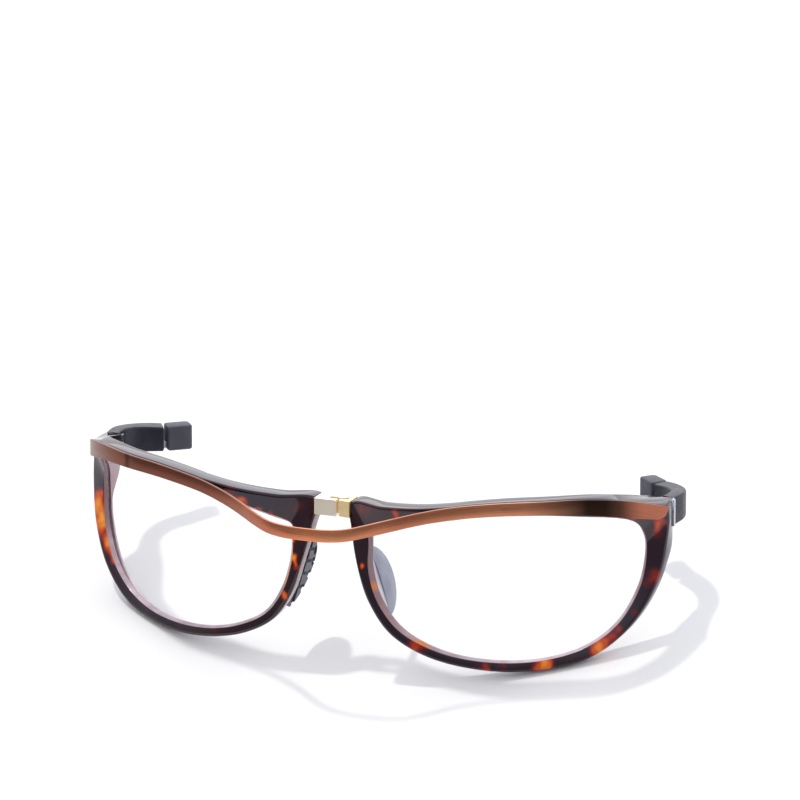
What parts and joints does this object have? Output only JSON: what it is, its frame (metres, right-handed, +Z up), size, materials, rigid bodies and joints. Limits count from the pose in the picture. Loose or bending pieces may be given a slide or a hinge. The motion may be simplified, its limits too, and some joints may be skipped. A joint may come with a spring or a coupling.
{
  "type": "spectacles with a spring front bar",
  "caption": "Spectacle frame with lenses in separate rims joined by a bridge hinge, a leaf-spring bar across the front, and short curled temples with swivelling tip pads.",
  "frame": {"origin": "bottom centre of the bounding box, on the surface that the frame stands on", "axes": "+X to the right as seen from the front, +Y back towards the ears, +Z up. The frame leans back about 21 degrees on its lower rims, so its own upright axis is tilted that much about X."},
  "size_m": [0.1436, 0.0652, 0.0444],
  "materials": {
    "rim_acetate": "polished tortoiseshell acetate",
    "lens": "clear polished",
    "copper_bar": "copper-coloured, brushed along its length",
    "bridge_metal": "polished pale gold",
    "steel": "satin",
    "hinge_metal": "bright satin",
    "temple_plastic": "satin charcoal",
    "tip_rubber": "satin charcoal",
    "nose_rubber": "soft matt grey-blue",
    "clip_plastic": "translucent pale"
  },
  "bodies": {
    "left_half": {"rim_left": "rim_acetate", "lens_left": "lens", "front_bar": "copper_bar", "bar_stud_left": "steel", "bridge_block_left": "bridge_metal", "bridge_pin": "bridge_metal", "nose_pad_left": "nose_rubber", "nose_pad_clip_left": "clip_plastic", "hinge_plate_left": "hinge_metal", "hinge_pin_left": "steel"},
    "right_half": {"rim_right": "rim_acetate", "lens_right": "lens", "bar_stud_right": "steel", "bridge_block_right": "bridge_metal", "nose_pad_right": "nose_rubber", "nose_pad_clip_right": "clip_plastic", "hinge_plate_right": "hinge_metal", "hinge_pin_right": "steel"},
    "temple_arm_left": {"temple_core_left": "steel", "temple_left": "temple_plastic"},
    "temple_arm_right": {"temple_core_right": "steel", "temple_right": "temple_plastic"},
    "tip_left": {"tip_pad_left": "tip_rubber", "tip_pin_left": "steel"},
    "tip_right": {"tip_pad_right": "tip_rubber", "tip_pin_right": "steel"}
  },
  "joints": [
    {"name": "bridge_flex", "type": "hinge", "parent": "left_half", "child": "right_half", "pos_m": [0.00125, -0.0124, 0.03628], "axis": [0, -0.3518, -0.9361], "range_deg": [-2, 6], "stiffness_Nm_per_rad": 0.3, "deforming": ["front_bar"]},
    {"name": "temple_fold_right", "type": "hinge", "parent": "right_half", "child": "temple_arm_right", "pos_m": [0.0682, 0.0153, 0.02416], "axis": [0, 0.3518, 0.9361], "range_deg": [0, 85]},
    {"name": "temple_fold_left", "type": "hinge", "parent": "left_half", "child": "temple_arm_left", "pos_m": [-0.0682, 0.0153, 0.02416], "axis": [0, -0.3518, -0.9361], "range_deg": [0, 85]},
    {"name": "tip_swivel_right", "type": "hinge", "parent": "temple_arm_right", "child": "tip_right", "pos_m": [0.06085, 0.02699, 0.01709], "axis": [0, 0.3518, 0.9361], "range_deg": [-10, 10]},
    {"name": "tip_swivel_left", "type": "hinge", "parent": "temple_arm_left", "child": "tip_left", "pos_m": [-0.06085, 0.02699, 0.01709], "axis": [0, -0.3518, -0.9361], "range_deg": [-10, 10]}
  ]
}
